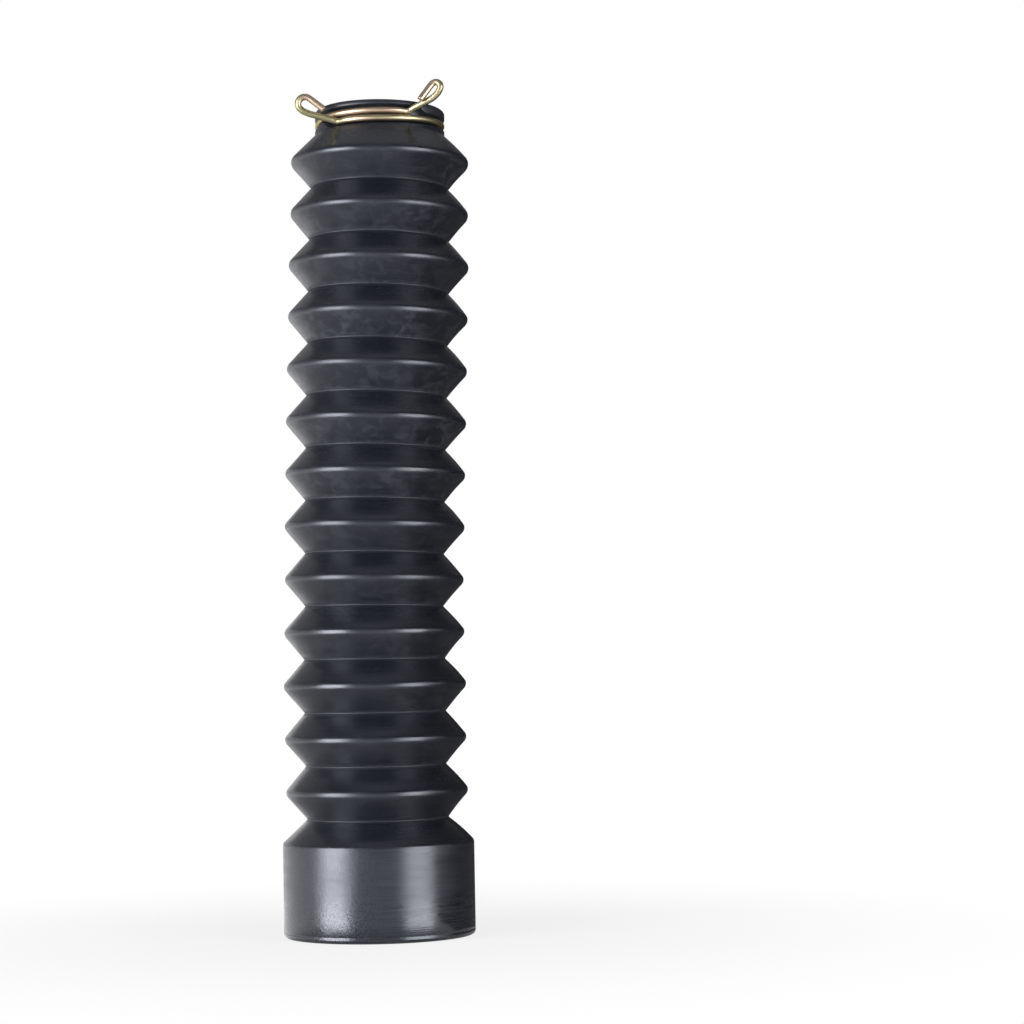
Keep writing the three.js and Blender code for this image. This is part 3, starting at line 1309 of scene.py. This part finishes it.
@dataclass(frozen=True)
class Tent:
    """Cards that only reflections see: a hood, a front, a top, and a dark sweep and ground at the right."""

    radius: float = 1.6
    middle: float = 0.13
    brim: float = 15.0
    hood_slope: Ramp = Ramp(-0.5, 0.9, 0.36, 0.05)
    sweep_from: float = 96.0
    sweep_to: float = 186.0
    sweep_level: float = 0.03
    front_half: float = 33.0
    front_level: float = 0.45
    ground_from: float = 62.0
    ground_inner: float = 0.034
    ground_level: float = 0.09
    ground_steps: int = 32
    lift: float = 0.0004
    hem: float = 0.001
    top_height: float = 0.5
    top_radius: float = 0.36
    top_slope: Ramp = Ramp(0.1, 0.36, 0.45, 0.1)

    def _paper(self, name: str) -> Sheet:
        """Black paper that glows, because a card shows only the level its reflection should have.

        Args:
            name: The paper's name.

        Returns:
            The paper, whose level is still to be set.
        """
        sheet = Sheet(name)
        sheet.set("Base Color", BLACK)
        sheet.set("Specular IOR Level", 0.0)
        sheet.set("Emission Color", WHITE)
        return sheet

    def _plain(self, name: str, level: float) -> Sheet:
        """Paper that glows at one level all over.

        Args:
            name: The paper's name.
            level: Its level.

        Returns:
            The paper.
        """
        sheet = self._paper(name)
        sheet.set("Emission Strength", level)
        return sheet

    def _card(self, bm: bmesh.types.BMesh, name: str, sheet: Sheet) -> None:
        """Turns a mesh into a card that neither the camera nor the lamps' light meets.

        Args:
            bm: The card's mesh, in millimetres.
            name: The card's name.
            sheet: Its paper.
        """
        card = finished(bm, name, sheet.material)
        card.visible_camera = False
        card.visible_diffuse = False
        card.visible_shadow = False

    def _cut(self, bm: bmesh.types.BMesh, height: float, away: tuple[float, float, float]) -> None:
        """Cuts off what lies on one side of a plane through the axis at a height.

        Args:
            bm: The mesh.
            height: The plane's height on the axis, in millimetres.
            away: The plane's normal, towards what goes.
        """
        bmesh.ops.bisect_plane(
            bm, geom=bm.verts[:] + bm.edges[:] + bm.faces[:],
            plane_co=(0, 0, height), plane_no=away, clear_outer=True,
        )

    def _sector(self, wall: bmesh.types.BMesh, first: float, last: float) -> bmesh.types.BMesh:
        """A copy of the wall between two bearings, less than half a turn apart.

        Args:
            wall: The whole wall.
            first: Degrees from the front towards the right where it starts.
            last: Degrees where it ends.

        Returns:
            The part of the wall.
        """
        part = wall.copy()
        first, last = math.radians(first), math.radians(last)
        self._cut(part, 0, (-math.cos(first), -math.sin(first), 0))
        self._cut(part, 0, (math.cos(last), math.sin(last), 0))
        return part

    def _walls(self) -> None:
        """Hangs the hood, and under its brim the sweep and the front."""
        brim = (self.middle + self.radius * math.sin(math.radians(self.brim))) / MM
        hood = bmesh.new()
        bmesh.ops.create_uvsphere(hood, u_segments=64, v_segments=32, radius=self.radius / MM)
        bmesh.ops.translate(hood, verts=hood.verts, vec=(0, 0, self.middle / MM))
        wall = hood.copy()
        self._cut(hood, brim, (0, 0, -1))
        self._cut(wall, brim, (0, 0, 1))
        self._cut(wall, self.hem / MM, (0, 0, -1))
        paper = self._paper("hood_paper")
        reach = paper.axis(paper.node("ShaderNodeTexCoord").outputs["Object"], "X")
        paper.set("Emission Strength", paper.ramp(reach, self.hood_slope))
        self._card(hood, "hood_card", paper)
        sweep = self._sector(wall, self.sweep_from, self.sweep_to)
        self._card(sweep, "wall_card", self._plain("sweep_paper", self.sweep_level))
        front = self._sector(wall, -self.front_half, self.front_half)
        self._card(front, "front_card", self._plain("front_paper", self.front_level))
        wall.free()

    def _ground(self) -> None:
        """Lays the dark card on the floor at the right, which darkens the folds' undersides there."""
        ground = bmesh.new()
        start = math.radians(self.ground_from)
        ends = [
            ground.verts.new((math.sin(start) * reach / MM, -math.cos(start) * reach / MM, self.lift / MM))
            for reach in (self.ground_inner, self.radius)
        ]
        edge = ground.edges.new(ends)
        bmesh.ops.spin(
            ground, geom=ends + [edge], cent=(0, 0, 0), axis=(0, 0, 1),
            angle=math.radians(self.sweep_to) - start, steps=self.ground_steps, use_merge=False,
        )
        self._card(ground, "ground_card", self._plain("ground_paper", self.ground_level))

    def _top(self) -> None:
        """Hangs the round card close above the neck, which fades towards its edge."""
        top = bmesh.new()
        bmesh.ops.create_circle(top, cap_ends=True, segments=64, radius=self.top_radius / MM)
        bmesh.ops.translate(top, verts=top.verts, vec=(0, 0, self.top_height / MM))
        paper = self._paper("top_paper")
        place = paper.node("ShaderNodeTexCoord").outputs["Object"]
        x, y = paper.axis(place, "X"), paper.axis(place, "Y")
        reach = paper.reckon("SQRT", paper.plus(paper.times(x, x), paper.times(y, y)))
        paper.set("Emission Strength", paper.ramp(reach, self.top_slope))
        self._card(top, "top_card", paper)

    def build(self) -> None:
        """Hangs all the cards."""
        self._walls()
        self._ground()
        self._top()


@dataclass(frozen=True)
class Studio:
    """Camera, lamps, floor and surroundings."""

    camera_place: tuple[float, float, float] = (0.04447, -0.8298, 0.08207)
    pitch: float = 3.598
    roll: float = -1.042
    lens: float = 90.79
    sensor: float = 36.0
    nearest: float = 0.01
    surroundings: float = 0.2
    floor_radius: float = 4.0
    floor_gap: float = 0.00005
    lamps: tuple[Softbox, ...] = (
        Softbox("left_softbox", -51.5, 0.9, 0.55, 0.45, 10.0),
        Softbox("right_softbox", 52, 0.9, 0.56, 0.45, 6.2),
    )

    def _camera(self) -> None:
        """Places the camera as the photograph was taken."""
        data = bpy.data.cameras.new("camera")
        data.lens = self.lens
        data.sensor_width = self.sensor
        data.clip_start = self.nearest
        camera = bpy.data.objects.new("camera", data)
        turn = Euler((math.radians(90 + self.pitch), 0, 0)).to_matrix().to_4x4()
        roll = Matrix.Rotation(math.radians(self.roll), 4, "Z")
        camera.matrix_world = Matrix.Translation(self.camera_place) @ turn @ roll
        bpy.context.scene.collection.objects.link(camera)
        bpy.context.scene.camera = camera

    def _world(self) -> None:
        """White surroundings where they are looked at, and a low even light elsewhere."""
        world = bpy.data.worlds.new("surroundings")
        bpy.context.scene.world = world
        world.use_nodes = True
        nodes, links = world.node_tree.nodes, world.node_tree.links
        nodes.clear()
        path = nodes.new("ShaderNodeLightPath")
        seen = path.outputs["Is Camera Ray"]
        for name in ("Is Glossy Ray", "Is Transmission Ray"):
            join = nodes.new("ShaderNodeMath")
            join.operation = "MAXIMUM"
            links.new(seen, join.inputs[0])
            links.new(path.outputs[name], join.inputs[1])
            seen = join.outputs[0]
        level = nodes.new("ShaderNodeMapRange")
        level.inputs["To Min"].default_value = self.surroundings
        level.inputs["To Max"].default_value = 1.0
        links.new(seen, level.inputs["Value"])
        light = nodes.new("ShaderNodeBackground")
        light.inputs["Color"].default_value = WHITE
        links.new(level.outputs["Result"], light.inputs["Strength"])
        output = nodes.new("ShaderNodeOutputWorld")
        links.new(light.outputs["Background"], output.inputs["Surface"])

    def _floor(self) -> None:
        """Lays the floor a hair under the foot."""
        bm = bmesh.new()
        bmesh.ops.create_circle(bm, cap_ends=True, segments=96, radius=self.floor_radius / MM)
        bmesh.ops.translate(bm, verts=bm.verts, vec=(0, 0, -self.floor_gap / MM))
        finished(bm, "floor", StudioFloor().material())

    def build(self) -> None:
        """Sets up the studio."""
        self._camera()
        self._world()
        self._floor()
        for lamp in self.lamps:
            lamp.build()
        Tent().build()
        bpy.context.scene.view_settings.view_transform = "Standard"


def main() -> None:
    """Builds the gaiter, its clip and the studio."""
    logging.basicConfig(level=logging.INFO, format="%(name)s: %(message)s")
    stance, seat = Stance(), ClipSeat()
    gaiter = RubberGaiter(stance, seat).build(MouldedRubber())
    log.info("gaiter: %d faces", len(gaiter.data.polygons))
    clip = WireClip(stance, seat).build(PlatedWire())
    log.info("clip: %d faces", len(clip.data.polygons))
    Studio().build()


if __name__ == "__main__":
    main()
